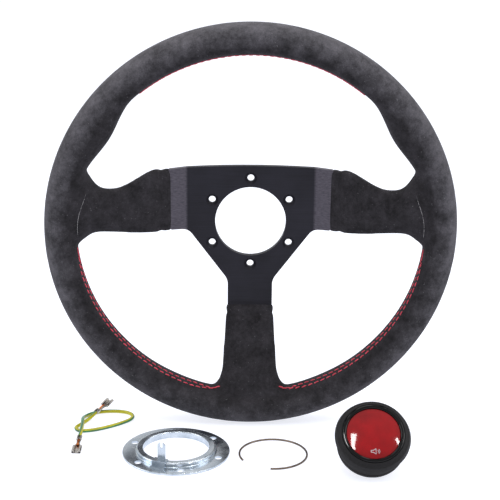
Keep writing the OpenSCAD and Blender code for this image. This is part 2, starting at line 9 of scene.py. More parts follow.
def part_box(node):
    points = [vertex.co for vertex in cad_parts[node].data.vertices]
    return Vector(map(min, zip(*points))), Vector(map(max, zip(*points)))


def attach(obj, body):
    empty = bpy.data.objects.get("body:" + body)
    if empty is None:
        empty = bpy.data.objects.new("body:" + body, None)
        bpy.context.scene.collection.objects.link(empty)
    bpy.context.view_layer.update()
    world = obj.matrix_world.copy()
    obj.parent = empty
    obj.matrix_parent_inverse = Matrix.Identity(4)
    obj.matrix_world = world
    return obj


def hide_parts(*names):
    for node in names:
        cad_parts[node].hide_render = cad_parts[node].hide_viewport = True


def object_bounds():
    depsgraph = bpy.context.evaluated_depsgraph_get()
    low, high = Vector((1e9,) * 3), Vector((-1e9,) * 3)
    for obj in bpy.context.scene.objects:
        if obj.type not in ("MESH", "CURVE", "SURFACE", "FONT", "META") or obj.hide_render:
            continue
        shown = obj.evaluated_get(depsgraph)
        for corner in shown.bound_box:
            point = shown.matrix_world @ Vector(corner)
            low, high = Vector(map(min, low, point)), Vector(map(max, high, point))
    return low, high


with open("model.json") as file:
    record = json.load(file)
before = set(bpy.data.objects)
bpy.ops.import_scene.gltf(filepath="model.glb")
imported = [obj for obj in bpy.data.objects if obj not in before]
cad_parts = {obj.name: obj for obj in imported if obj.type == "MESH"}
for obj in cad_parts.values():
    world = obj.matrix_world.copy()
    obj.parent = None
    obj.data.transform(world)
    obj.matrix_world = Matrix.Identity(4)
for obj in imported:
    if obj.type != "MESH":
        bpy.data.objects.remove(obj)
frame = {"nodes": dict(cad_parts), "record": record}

# Dished three-spoke suede steering wheel with its horn button, retaining ring, snap ring and earth lead.
# Lengths in the dictionaries are millimetres unless a note says otherwise; the frame is metres.
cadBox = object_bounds()
nodes = frame["nodes"]
mounts = {m["name"]: m for m in frame["record"]["mounts"]}
mm = 0.001
random.seed(7)


# ---- small helpers ----

def deselectAll():
    if bpy.context.mode != "OBJECT":
        bpy.ops.object.mode_set(mode="OBJECT")
    bpy.ops.object.select_all(action="DESELECT")


def pick(piece):
    deselectAll()
    piece.select_set(True)
    bpy.context.view_layer.objects.active = piece


def inEdit(piece, select="SELECT"):
    pick(piece)
    bpy.ops.object.mode_set(mode="EDIT")
    bpy.ops.mesh.select_all(action=select)


def addModifier(piece, kind, **settings):
    modifier = piece.modifiers.new(kind.title(), kind)
    for key, value in settings.items():
        setattr(modifier, key, value)
    pick(piece)
    bpy.ops.object.modifier_apply(modifier=modifier.name)


def shadeSmooth(piece, angle=35):
    pick(piece)
    bpy.ops.object.shade_smooth_by_angle(angle=math.radians(angle))


def ease(t):
    t = max(0.0, min(1.0, t))
    return t * t * (3 - 2 * t)


def mix(a, b, t):
    return a + (b - a) * t


def srgb(text):
    channels = [int(text[i:i + 2], 16) / 255 for i in (1, 3, 5)]
    return tuple(c / 12.92 if c <= 0.04045 else ((c + 0.055) / 1.055) ** 2.4 for c in channels) + (1.0,)


def joinPieces(name, pieces):
    deselectAll()
    for piece in pieces:
        piece.select_set(True)
    bpy.context.view_layer.objects.active = pieces[0]
    if len(pieces) > 1:
        bpy.ops.object.join()
    joined = bpy.context.view_layer.objects.active
    joined.name = name
    joined.data.name = name
    return joined


def finishPiece(piece, body, material, hides=()):
    piece.data.materials.clear()
    piece.data.materials.append(material)
    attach(piece, body)
    if hides:
        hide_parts(*hides)


# a lathe: an outline of (radius, height) points is extruded point by point, then spun round Z
def spinOutline(name, outline, steps=96):
    deselectAll()
    bpy.ops.mesh.primitive_plane_add(size=0.001, location=(0, 0, 0))
    piece = bpy.context.active_object
    piece.name = name
    inEdit(piece)
    bpy.ops.mesh.merge(type="CENTER")
    bpy.ops.transform.translate(value=(outline[0][0] * mm, 0, outline[0][1] * mm))
    for (r0, z0), (r1, z1) in zip(outline, outline[1:]):
        bpy.ops.mesh.extrude_region_move(
            TRANSFORM_OT_translate={"value": ((r1 - r0) * mm, 0, (z1 - z0) * mm)})
    bpy.ops.mesh.select_all(action="SELECT")
    bpy.ops.mesh.spin(steps=steps, angle=math.tau, center=(0, 0, 0), axis=(0, 0, 1))
    bpy.ops.mesh.select_all(action="SELECT")
    bpy.ops.mesh.remove_doubles(threshold=0.00001)
    bpy.ops.mesh.normals_make_consistent(inside=False)
    bpy.ops.object.mode_set(mode="OBJECT")
    return piece


# a bar of rings: a filled circle is extruded once for each ring, then every ring is put in its shape
def ringBar(name, rings):
    count = len(rings[0])
    deselectAll()
    bpy.ops.mesh.primitive_circle_add(vertices=count, radius=1, fill_type="NGON", location=(0, 0, 0))
    piece = bpy.context.active_object
    piece.name = name
    inEdit(piece)
    for _ in rings[1:]:
        bpy.ops.mesh.extrude_region_move(TRANSFORM_OT_translate={"value": (0, 0, 1)})
    bpy.ops.object.mode_set(mode="OBJECT")
    for vertex in piece.data.vertices:
        level = round(vertex.co.z)
        turn = math.atan2(vertex.co.y, vertex.co.x) / math.tau * count
        vertex.co = rings[level][round(turn) % count]
    inEdit(piece)
    bpy.ops.mesh.normals_make_consistent(inside=False)
    bpy.ops.object.mode_set(mode="OBJECT")
    return piece


# a sheet: a flat grid whose point (i, j) goes to rows[i][j]
def gridSheet(name, rows):
    across, deep = len(rows), len(rows[0])
    deselectAll()
    bpy.ops.mesh.primitive_grid_add(x_subdivisions=across - 1, y_subdivisions=deep - 1, size=2)
    piece = bpy.context.active_object
    piece.name = name
    for vertex in piece.data.vertices:
        i = round((vertex.co.x + 1) / 2 * (across - 1))
        j = round((vertex.co.y + 1) / 2 * (deep - 1))
        vertex.co = rows[i][j]
    return piece


# ---- camera ----
cameraSet = {"place": (-0.0158, -1.0098, 0.2780), "lens": 94.9, "down": 16.7, "turn": 0.89, "roll": 0.58}


def makeCamera():
    down, turn, roll = (math.radians(cameraSet[k]) for k in ("down", "turn", "roll"))
    ahead = Vector((math.sin(turn) * math.cos(down), math.cos(turn) * math.cos(down), -math.sin(down)))
    right = ahead.cross(Vector((0, 0, 1))).normalized()
    up = right.cross(ahead)
    right, up = right * math.cos(roll) + up * math.sin(roll), up * math.cos(roll) - right * math.sin(roll)
    bpy.ops.object.camera_add(location=cameraSet["place"])
    camera = bpy.context.active_object
    turned = Matrix((right, up, -ahead)).transposed().to_4x4()
    camera.matrix_world = Matrix.Translation(cameraSet["place"]) @ turned
    camera.data.lens = cameraSet["lens"]
    camera.data.clip_end = 50
    bpy.context.scene.camera = camera


makeCamera()

# ---- materials ----


def addNode(tree, kind, links=None, **settings):
    node = tree.nodes.new(kind)
    for key, value in settings.items():
        if hasattr(node, key):
            setattr(node, key, value)
        else:
            node.inputs[key.replace("_", " ")].default_value = value
    for socket, source in (links or {}).items():
        tree.links.new(source, node.inputs[socket])
    return node


def startMaterial(name):
    material = bpy.data.materials.new(name)
    material.use_nodes = True
    tree = material.node_tree
    tree.nodes.clear()
    shader = addNode(tree, "ShaderNodeBsdfPrincipled")
    output = addNode(tree, "ShaderNodeOutputMaterial")
    tree.links.new(shader.outputs["BSDF"], output.inputs["Surface"])
    return material, tree, shader


def objectPoint(tree, scale=(1, 1, 1)):
    place = addNode(tree, "ShaderNodeTexCoord").outputs["Object"]
    if scale == (1, 1, 1):
        return place
    stretch = addNode(tree, "ShaderNodeMapping", {"Vector": place})
    stretch.inputs["Scale"].default_value = scale
    return stretch.outputs["Vector"]


def noiseOn(tree, place, sizeMm, detail=2.0, rough=0.5):
    noise = addNode(tree, "ShaderNodeTexNoise", {"Vector": place})
    noise.inputs["Scale"].default_value = 1000.0 / sizeMm
    noise.inputs["Detail"].default_value = detail
    noise.inputs["Roughness"].default_value = rough
    return noise.outputs["Fac"]


def rampOn(tree, factor, stops):
    ramp = addNode(tree, "ShaderNodeValToRGB", {"Fac": factor})
    elements = ramp.color_ramp.elements
    while len(elements) < len(stops):
        elements.new(0.5)
    for element, (spot, colour) in zip(elements, stops):
        element.position = spot
        element.color = srgb(colour)
    return ramp.outputs["Color"]


def spread(tree, factor, low, high, lowOut, highOut):
    node = addNode(tree, "ShaderNodeMapRange", {"Value": factor})
    for key, value in (("From Min", low), ("From Max", high), ("To Min", lowOut), ("To Max", highOut)):
        node.inputs[key].default_value = value
    return node.outputs["Result"]


def blendColour(tree, factor, a, b, kind="MIX"):
    node = addNode(tree, "ShaderNodeMix", data_type="RGBA", blend_type=kind)
    for index, source in ((0, factor), (6, a), (7, b)):
        if isinstance(source, (int, float, tuple)):
            node.inputs[index].default_value = source
        else:
            tree.links.new(source, node.inputs[index])
    return node.outputs[2]


def bumpOn(tree, shader, height, distanceMm, strength=1.0, under=None):
    bump = addNode(tree, "ShaderNodeBump", {"Height": height})
    bump.inputs["Distance"].default_value = distanceMm * mm
    bump.inputs["Strength"].default_value = strength
    if under is not None:
        tree.links.new(under, bump.inputs["Normal"])
    tree.links.new(bump.outputs["Normal"], shader.inputs["Normal"])
    return bump.outputs["Normal"]


# suede: buffed split leather, so no gloss at all; painted light makes the nap paler on the outside of the rim,
# and painted shade keeps it darker inside it and on the lower half
suedeSet = {"dark": "#1c1b1d", "pale": "#353337", "litBandDark": "#39383b", "litBandPale": "#5a585d",
            "patch": 11.0, "nap": 2.6, "fibre": 0.8, "speck": 1.2}


def makeSuede(name):
    material, tree, shader = startMaterial(name)
    place = objectPoint(tree)
    patches = noiseOn(tree, place, suedeSet["patch"], 3.0, 0.6)
    nap = noiseOn(tree, place, suedeSet["nap"], 4.0, 0.7)
    fibre = noiseOn(tree, place, suedeSet["fibre"], 3.0, 0.7)
    flat = addNode(tree, "ShaderNodeVectorMath", {0: place}, operation="MULTIPLY")
    flat.inputs[1].default_value = (1, 0, 1)
    reach = addNode(tree, "ShaderNodeVectorMath", {0: flat.outputs["Vector"]}, operation="LENGTH")
    height = addNode(tree, "ShaderNodeSeparateXYZ", {"Vector": place})
    # patches push the edge of the painted light band in and out by a few millimetres
    wander = addNode(tree, "ShaderNodeMath", {0: patches, 2: reach.outputs["Value"]},
                     operation="MULTIPLY_ADD")
    wander.inputs[1].default_value = 0.012
    # painted light: a paler band round the outside of the rim, fading to painted shade on the lower half
    litBandMask = spread(tree, wander.outputs[0], 0.146, 0.161, 0.0, 1.0)
    upper = spread(tree, height.outputs["Z"], -0.15, 0.0, 0.6, 1.0)
    paintedLightMask = addNode(tree, "ShaderNodeMath", {0: litBandMask, 1: upper}, operation="MULTIPLY").outputs[0]
    lay = blendColour(tree, 0.45, patches, nap)
    deep = rampOn(tree, lay, ((0.36, suedeSet["dark"]), (0.66, suedeSet["pale"])))
    # the painted light colour of that band
    litBandColour = rampOn(tree, lay, ((0.36, suedeSet["litBandDark"]), (0.66, suedeSet["litBandPale"])))
    colour = blendColour(tree, paintedLightMask, deep, litBandColour)
    grain = spread(tree, fibre, 0.3, 0.7, 0.78, 1.22)
    shaded = addNode(tree, "ShaderNodeVectorMath", {0: colour}, operation="SCALE")
    tree.links.new(grain, shaded.inputs["Scale"])
    # a few loose fibres stand up and catch the light
    speck = spread(tree, noiseOn(tree, place, suedeSet["speck"], 1.0, 0.3), 0.74, 0.82, 0.0, 0.3)
    dotted = blendColour(tree, speck, shaded.outputs["Vector"], srgb("#8d8b90"))
    tree.links.new(dotted, shader.inputs["Base Color"])
    tree.links.new(spread(tree, nap, 0.3, 0.7, 0.86, 1.0), shader.inputs["Roughness"])
    first = bumpOn(tree, shader, fibre, 0.3, 0.7)
    bumpOn(tree, shader, nap, 0.45, 0.5, first)
    shader.inputs["Specular IOR Level"].default_value = 0.1
    shader.inputs["Sheen Weight"].default_value = 0.1
    shader.inputs["Sheen Roughness"].default_value = 0.4
    shader.inputs["Sheen Tint"].default_value = srgb("#a9a8b0")
    return material


suede = makeSuede("charcoalSuede")


# suede's cut edge: the raw leather under the nap shows paler along a seam
def makeCutEdge():
    material, tree, shader = startMaterial("suedeCutEdge")
    fleck = noiseOn(tree, objectPoint(tree), 1.6, 3.0)
    tree.links.new(rampOn(tree, fleck, ((0.4, "#4a494c"), (0.62, "#a5a3a6"))), shader.inputs["Base Color"])
    shader.inputs["Roughness"].default_value = 0.95
    bumpOn(tree, shader, fleck, 0.2, 0.6)
    return material


cutEdge = makeCutEdge()


# waxed polyester thread: two twisted plies, a soft shine along each stitch
def makeThread():
    material, tree, shader = startMaterial("waxedRedThread")
    lay = addNode(tree, "ShaderNodeTexCoord").outputs["UV"]
    twist = addNode(tree, "ShaderNodeTexWave", {"Vector": lay}, bands_direction="DIAGONAL")
    twist.inputs["Scale"].default_value = 2.2
    fuzz = noiseOn(tree, objectPoint(tree), 2.5, 2.0)
    shade = rampOn(tree, twist.outputs["Fac"], ((0.1, "#a1122c"), (0.8, "#e2304c")))
    tone = rampOn(tree, fuzz, ((0.3, "#b0132f"), (0.7, "#ef4560")))
    tree.links.new(blendColour(tree, 0.5, shade, tone), shader.inputs["Base Color"])
    shader.inputs["Roughness"].default_value = 0.55
    shader.inputs["Sheen Weight"].default_value = 0.2
    bumpOn(tree, shader, twist.outputs["Fac"], 0.15, 0.5)
    return material


redThread = makeThread()


# black anodised aluminium: brushed before dyeing, so fine lines run across it; painted light makes each
# side arm paler than the flat past its bend, where it slopes
plateLook = {"dark": "#121118", "pale": "#22212a", "slopeLitDark": "#3a373f", "slopeLitPale": "#57535c",
             "line": 0.8, "cloud": 30.0, "bend": 0.0505}


def makePlate():
    material, tree, shader = startMaterial("blackAnodisedAluminium")
    lines = noiseOn(tree, objectPoint(tree, (0.03, 1, 1)), plateLook["line"], 3.0, 0.6)
    cloud = noiseOn(tree, objectPoint(tree), plateLook["cloud"], 2.0)
    colour = blendColour(tree, 0.4, rampOn(tree, lines, ((0.3, plateLook["dark"]), (0.7, plateLook["pale"]))),
                         rampOn(tree, cloud, ((0.35, plateLook["dark"]), (0.65, plateLook["pale"]))))
    place = addNode(tree, "ShaderNodeSeparateXYZ", {"Vector": objectPoint(tree)})
    out = addNode(tree, "ShaderNodeMath", {0: place.outputs["X"]}, operation="ABSOLUTE").outputs[0]
    # painted light: the side arms past the bend take the paler colour
    slopeLitMask = spread(tree, out, plateLook["bend"] - 0.0012, plateLook["bend"] + 0.001, 0.0, 1.0)
    slope = rampOn(tree, lines, ((0.3, plateLook["slopeLitDark"]), (0.7, plateLook["slopeLitPale"])))
    tree.links.new(blendColour(tree, slopeLitMask, colour, slope), shader.inputs["Base Color"])
    shader.inputs["Metallic"].default_value = 0.35
    shader.inputs["Specular IOR Level"].default_value = 0.3
    tree.links.new(spread(tree, lines, 0.3, 0.7, 0.42, 0.56), shader.inputs["Roughness"])
    bumpOn(tree, shader, lines, 0.02, 0.5)
    return material


blackPlate = makePlate()


# bright zinc plating with blue passivate: satin, slightly cloudy, with rolling marks of the sheet
def makeZinc(name, dark, pale, roughLow, roughHigh):
    material, tree, shader = startMaterial(name)
    cloud = noiseOn(tree, objectPoint(tree), 9.0, 3.0)
    fine = noiseOn(tree, objectPoint(tree, (1, 0.12, 1)), 1.1, 2.0)
    tree.links.new(rampOn(tree, cloud, ((0.3, dark), (0.7, pale))), shader.inputs["Base Color"])
    shader.inputs["Metallic"].default_value = 1.0
    tree.links.new(spread(tree, cloud, 0.3, 0.7, roughLow, roughHigh), shader.inputs["Roughness"])
    bumpOn(tree, shader, fine, 0.012, 0.5)
    return material


blueZinc = makeZinc("blueZincPlatedSteel", "#aeb9c5", "#d2dae2", 0.17, 0.3)
tinned = makeZinc("tinnedBrass", "#8f8a86", "#c9c5bf", 0.2, 0.34)
brass = makeZinc("stampedBrass", "#b08d3c", "#d9bd6c", 0.25, 0.4)
brightSteel = makeZinc("drawnSpringSteel", "#8f9296", "#c3c6ca", 0.2, 0.35)
rolledSteel = makeZinc("rolledSteel", "#6f7276", "#9fa2a6", 0.35, 0.5)
plainAluminium = makeZinc("plainAluminium", "#a9abae", "#d1d3d6", 0.3, 0.45)
copper = makeZinc("bareCopperStrands", "#a8562c", "#d98a4e", 0.25, 0.4)
brownWire = makeZinc("oilBrownedSpringWire", "#54483f", "#85766a", 0.3, 0.44)


# moulded parts: a plain or gloss plastic with the faint texture that its mould leaves
def makeMoulding(name, dark, pale, roughness, grainMm, bump, gloss=0.5):
    material, tree, shader = startMaterial(name)
    grain = noiseOn(tree, objectPoint(tree), grainMm, 3.0, 0.6)
    tree.links.new(rampOn(tree, grain, ((0.35, dark), (0.65, pale))), shader.inputs["Base Color"])
    shader.inputs["Roughness"].default_value = roughness
    shader.inputs["Specular IOR Level"].default_value = gloss
    if bump:
        bumpOn(tree, shader, grain, bump, 0.5)
    return material


mattRubber = makeMoulding("mouldedBlackRubber", "#111012", "#1b1a1c", 0.72, 1.2, 0.05, gloss=0.25)
glossBlack = makeMoulding("polishedBlackAcetal", "#010102", "#040405", 0.06, 20.0, 0.0, gloss=0.25)
redResin = makeMoulding("domedRedResin", "#750006", "#8e010a", 0.06, 25.0, 0.0, gloss=0.35)
symbolInk = makeMoulding("silverPrint", "#8d8d92", "#b4b4b8", 0.3, 6.0, 0.0)
boardBrown = makeMoulding("phenolicBoard", "#4a2f1c", "#6b4630", 0.5, 2.0, 0.02)
foamBlack = makeMoulding("polyurethaneFoam", "#1c1c1c", "#2b2b2b", 0.9, 1.5, 0.2)


# PVC insulation: half of it yellow and half green, by the tube's own UV, so the stripe follows the bends
def makeInsulation():
    material, tree, shader = startMaterial("yellowGreenInsulation")
    uvPlace = addNode(tree, "ShaderNodeTexCoord").outputs["UV"]
    lay = addNode(tree, "ShaderNodeSeparateXYZ", {"Vector": uvPlace})
    half = addNode(tree, "ShaderNodeMath", {0: lay.outputs["X"]}, operation="PINGPONG")
    half.inputs[1].default_value = 0.5
    edge = spread(tree, half.outputs[0], 0.24, 0.26, 0.0, 1.0)
    smear = noiseOn(tree, objectPoint(tree), 5.0, 2.0)
    yellow = rampOn(tree, smear, ((0.3, "#a8a20c"), (0.7, "#bfb914")))
    green = rampOn(tree, smear, ((0.3, "#1f5c33"), (0.7, "#2f7a45")))
    tree.links.new(blendColour(tree, edge, yellow, green), shader.inputs["Base Color"])
    shader.inputs["Roughness"].default_value = 0.32
    bumpOn(tree, shader, smear, 0.05, 0.3)
    return material


insulation = makeInsulation()
print("materials ready")

# ---- earth lead ----
# The route repeats the solid's own points, [x, y, height above the surface].
floorZ = cadBox[0][2]
leadSet = {"d": 2.8, "sides": 20, "points": (
    (-131.5, -73, 5.8), (-131.3, -67, 6.6), (-131.3, -60, 7), (-131.6, -53, 6.8), (-132.2, -46, 6.2),
    (-132.8, -39.5, 5.2), (-133, -33, 3.6), (-132, -27, 2.1), (-129, -21.8, 1.6), (-124.2, -18, 1.5),
    (-118.5, -16, 1.5), (-112, -15.2, 1.5), (-105.5, -15.6, 1.5), (-99.5, -17.6, 1.5), (-95.2, -21.6, 1.5),
    (-94, -27, 1.5), (-96.2, -32.4, 1.5), (-100.6, -37.2, 1.5), (-106, -41.8, 1.5), (-112, -46, 1.5),
    (-118.4, -49.8, 1.5), (-125, -52.6, 1.5), (-131.5, -53.8, 1.5), (-135.6, -52.1, 1.5), (-137.3, -48, 1.5),
    (-136.5, -45.1, 1.5), (-133.6, -40.2, 1.5), (-130.7, -35.2, 1.6), (-128.6, -31.8, 2.2),
    (-126.4, -28.2, 3.2), (-124, -24.5, 4.4))}


def curvePoint(points, t):
    last = len(points) - 1
    i = min(int(t), last - 1)
    f = t - i
    p0, p1, p2, p3 = (points[max(0, min(last, k))] for k in (i - 1, i, i + 1, i + 2))
    return 0.5 * ((2 * p1) + (p2 - p0) * f + (2 * p0 - 5 * p1 + 4 * p2 - p3) * f * f
                  + (3 * p1 - p0 - 3 * p2 + p3) * f ** 3)


leadPoints = [Vector((x * mm, y * mm, floorZ + z * mm)) for x, y, z in leadSet["points"]]
leadPath = [curvePoint(leadPoints, k / 4) for k in range(4 * (len(leadPoints) - 1) + 1)]


def makeLead():
    rings, side = [], Vector((1, 0, 0))
    for k, spot in enumerate(leadPath):
        ahead = (leadPath[min(k + 1, len(leadPath) - 1)] - leadPath[max(k - 1, 0)]).normalized()
        side = (side - ahead * side.dot(ahead)).normalized()
        up = ahead.cross(side)
        turn = 1.1 * math.sin(k / 17)          # the lead is a little twisted, so its stripe wanders
        rings.append([spot + (side * math.cos(math.tau * j / leadSet["sides"] + turn)
                              + up * math.sin(math.tau * j / leadSet["sides"] + turn)) * leadSet["d"] / 2 * mm
                      for j in range(leadSet["sides"])])
    lead = ringBar("earthLead", rings)
    shadeSmooth(lead, 60)
    layer = lead.data.uv_layers.new(name="lay") if not lead.data.uv_layers else lead.data.uv_layers[0]
    sides = leadSet["sides"]
    places = {}
    for k, ring in enumerate(rings):
        for j, spot in enumerate(ring):
            places[tuple(round(c, 6) for c in spot)] = (j / sides, k / 4)
    for face in lead.data.polygons:
        spots = [places.get(tuple(round(c, 6) for c in lead.data.vertices[v].co), (0, 0))
                 for v in face.vertices]
        wraps = max(s[0] for s in spots) - min(s[0] for s in spots) > 0.5
        for loop, (around, far) in zip(face.loop_indices, spots):
            layer.data[loop].uv = (around + 1 if wraps and around < 0.5 else around, far)
    return lead


earthLead = makeLead()

# push-on receptacle: flat strip rolled up into a box, crimped on the bare strands and on the insulation
receptacleSet = {"wide": 7.6, "high": 2.6, "sheet": 0.5, "barrel": 7.8, "neck": 9.4, "core": 13.0, "grip": 15.2,
                 "end": 19.6}


def stripRow(kind, far, wide, high):
    # one cross row of the strip, from wing tip over the floor to the other wing tip
    row = []
    for k in range(25):
        t = k / 24 * 2 - 1
        a = abs(t)
        if kind == "curl":                      # floor, then a round roll back towards the middle
            if a < 0.45:
                x, z = a / 0.45 * (wide / 2 - high / 2), 0
            else:
                w = (a - 0.45) / 0.55 * math.radians(300)
                x = wide / 2 - high / 2 + high / 2 * math.sin(w)
                z = high / 2 * (1 - math.cos(w))
        elif kind == "neck":
            x, z = a * wide / 2, high * ease((a - 0.55) / 0.45)
        else:                                   # barrel: closes over the wire, tips tucked in
            w = a * math.pi * 0.97
            x, z = wide / 2 * math.sin(w), high / 2 * (1 - math.cos(w))
            if a > 0.82:
                z -= high * 0.3 * ease((a - 0.82) / 0.18)
        row.append(Vector((math.copysign(x, t) * mm, far * mm, z * mm)))
    return row


def makeReceptacle(name):
    s = receptacleSet
    stations = [("curl", 0, s["wide"], s["high"] * 0.96), ("curl", 0.5, s["wide"], s["high"]),
                ("curl", 4, s["wide"], s["high"]), ("curl", s["barrel"], s["wide"], s["high"]),
                ("neck", s["barrel"] + 0.3, 5.0, 1.4), ("neck", s["neck"], 3.6, 1.6),
                ("barrel", s["neck"] + 0.7, 3.1, 2.6), ("barrel", s["core"], 3.1, 2.6),
                ("neck", s["core"] + 0.6, 3.0, 1.5), ("neck", s["grip"] - 0.6, 3.4, 1.6),
                ("barrel", s["grip"], 4.2, 3.9), ("barrel", s["end"], 4.2, 3.9)]
    strip = gridSheet(name, [stripRow(*station) for station in stations])
    inEdit(strip)
    bpy.ops.mesh.normals_make_consistent(inside=False)
    bpy.ops.object.mode_set(mode="OBJECT")
    addModifier(strip, "SOLIDIFY", thickness=s["sheet"] * mm, offset=-1)
    addModifier(strip, "BEVEL", width=0.12 * mm, segments=2, limit_method="ANGLE",
                angle_limit=math.radians(50))
    shadeSmooth(strip, 40)
    return strip


def makeStrands(name):
    strands = []
    for k in range(7):
        a = math.tau * k / 6
        r = 0.62 if k < 6 else 0.0
        spot = Vector((r * math.cos(a), 0, 1.75 + r * math.sin(a)))
        rings = []
        for far, pinch in ((8.6, 0.5), (8.8, 1.0), (11, 1.0), (15, 1.0)):
            rings.append([Vector(((spot.x * (1 + 0.25 * (far < 9)) + 0.36 * pinch * math.cos(w)) * mm, far * mm,
                                  (spot.z + 0.36 * pinch * math.sin(w)) * mm))
                          for w in (math.tau * j / 8 for j in range(8))])
        strands.append(ringBar(name + str(k), rings))
    strands = joinPieces(name, strands)
    shadeSmooth(strands, 60)
    return strands


# A terminal's solid gives its place: the wire's end and the solid's middle fix its direction.
terminalSet = {"front": {"turn": (0, 11.5, 267), "end": 0}, "rear": {"turn": (0, -15, 57), "end": -1}}


def seatTerminal(piece, which):
    turn = [math.radians(a) for a in terminalSet[which]["turn"]]
    end = leadPoints[terminalSet[which]["end"]]
    # the terminal lies along its own +X in the solid, and along +Y here with its open end at 0
    toWire = Matrix.Translation((0, -receptacleSet["end"] * mm, -1.95 * mm))
    own = Matrix.Rotation(math.radians(90), 4, "Z") @ toWire
    matrix = (Matrix.Translation(end) @ Matrix.Rotation(turn[2], 4, "Z") @ Matrix.Rotation(turn[1], 4, "Y")
              @ Matrix.Rotation(turn[0], 4, "X") @ own)
    piece.data.transform(matrix)
    piece.data.update()


terminals = []
for which in ("front", "rear"):
    metal = makeReceptacle("receptacle" + which.title())
    strands = makeStrands("strands" + which.title())
    for piece in (metal, strands):
        seatTerminal(piece, which)
    finishPiece(metal, "lead", tinned, ("lead_terminal_" + which,))
    finishPiece(strands, "lead", copper)
    terminals += [metal, strands]
finishPiece(earthLead, "lead", insulation, ("earth_lead",))
print("lead and receptacles ready")

# ---- suede cover: one padded skin over the grip and the three arms ----
coverLow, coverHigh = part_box("cover_upper")
rimSet = {"outer": (coverHigh.x - coverLow.x) / 2 / mm, "wide": 25, "deep": (coverHigh.y - coverLow.y) / mm,
          "dish": -(coverLow.y + coverHigh.y) / 2 / mm, "thumbAngle": 33, "thumbSpread": 16, "thumbLift": 6.6,
          "thumbReach": 88, "shrink": 0.4}
rimSet["middle"] = rimSet["outer"] - rimSet["wide"] / 2
rimSet["inner"] = rimSet["outer"] - rimSet["wide"]
plateSet = {"top": 45, "thick": 5, "sideBend": 50, "lowerBend": 66, "armLow": 6.2, "lowerHalf": 17.8,
            "tongueIn": 129.5}
sleeveSet = {"voxel": 2.1}


def wheelPoint(x, y, z):
    # wheel's own frame, z towards the driver, to the shared frame in metres
    return Vector((x * mm, -z * mm, y * mm))


def thumbLift(angle, around):
    lift = 0.0
    for middle in (rimSet["thumbAngle"], 180 - rimSet["thumbAngle"]):
        off = abs((angle - middle + 180) % 360 - 180)
        lift += ease(1 - off / rimSet["thumbSpread"]) * ease(1 - abs(around) / rimSet["thumbReach"])
    return rimSet["thumbLift"] * lift


def makeRimForm():
    # a torus, its round section drawn out along the wheel's axis, with a thumb swell on each side
    deselectAll()
    bpy.ops.mesh.primitive_torus_add(major_radius=1, minor_radius=0.25, major_segments=288, minor_segments=40)
    rim = bpy.context.active_object
    rim.name = "suedeCover"
    flat = (rimSet["deep"] - rimSet["wide"]) / 2
    for vertex in rim.data.vertices:
        angle = math.degrees(math.atan2(vertex.co.y, vertex.co.x))
        w = math.atan2(vertex.co.z, math.hypot(vertex.co.x, vertex.co.y) - 1)
        around = math.degrees(w)
        around = (around - 180) if around > 0 else (around + 180)      # 0 faces the hub
        r = rimSet["wide"] / 2 - rimSet["shrink"] + thumbLift(angle, around)
        radial = rimSet["middle"] + r * math.cos(w)
        axial = rimSet["dish"] + r * math.sin(w) + flat * max(-1, min(1, math.sin(w) * 3))
        a = math.radians(angle)
        vertex.co = wheelPoint(radial * math.cos(a), radial * math.sin(a), axial)
    return rim


# each station of an arm's sleeve: distance out, low and high edge, back and front, squareness
def sleeveRings(table, place):
    rings = []
    for u, low, high, back, front, square in table:
        ring = []
        for k in range(64):
            a = math.tau * k / 64
            c, s = math.cos(a), math.sin(a)
            v = mix(low, high, 0.5) + (high - low) / 2 * math.copysign(abs(c) ** (2 / square), c)
            z = mix(back, front, 0.5) + (front - back) / 2 * math.copysign(abs(s) ** (2 / square), s)
            ring.append(place(u, v, z))
        rings.append(ring)
    return rings


def armSlope(u, bend):
    return (u - bend) * (rimSet["dish"] - plateSet["thick"]) / (plateSet["tongueIn"] - bend)


def sideTable():
    table = []
    top = plateSet["top"] - 1.6
    low = -plateSet["armLow"] - 1.1
    # out, high edge, low edge, pad thickness behind and in front of the plate
    shape = ((62, top, low, 1.7, 1.5), (64, top + 0.15, low - 0.1, 1.7, 1.6), (69.2, top - 0.1, low - 0.4, 1.7, 1.7),
             (70.6, top - 0.4, low - 0.5, 1.7, 1.75), (72.5, top + 0.3, low - 0.6, 2.2, 2.9),
             (76, top - 0.4, low - 0.5, 2.6, 3.5), (81, top - 2.3, low - 0.3, 2.9, 3.8),
             (88, top - 6.2, low + 0.1, 3.2, 4.0), (95, top - 10.0, low + 0.7, 3.6, 4.3),
             (102, top - 12.8, low + 1.4, 4.0, 4.8), (108, top - 13.6, low + 2.1, 4.6, 5.6),
             (114, top - 12.9, low + 2.7, 5.4, 6.4), (118, top - 10.9, low + 2.9, 6.0, 7.2),
             (121, top - 7.6, low + 2.6, 6.3, 7.8), (124, top - 2.6, low + 1.6, 6.6, 8.2),
             (127, top + 2.6, low - 0.4, 6.8, 8.4), (131, top + 5.4, low - 3.4, 6.8, 8.4),
             (136, top + 6.0, low - 6.5, 6.6, 8.0), (143, top + 5.0, low - 6.5, 6.0, 7.0))
    for u, high, bottom, back, front in shape:
        slope = armSlope(u, plateSet["sideBend"])
        square = mix(6.0, 2.6, ease((u - 72) / 50))
        table.append((u, bottom, high, slope - back, slope + plateSet["thick"] + front, square))
    return table


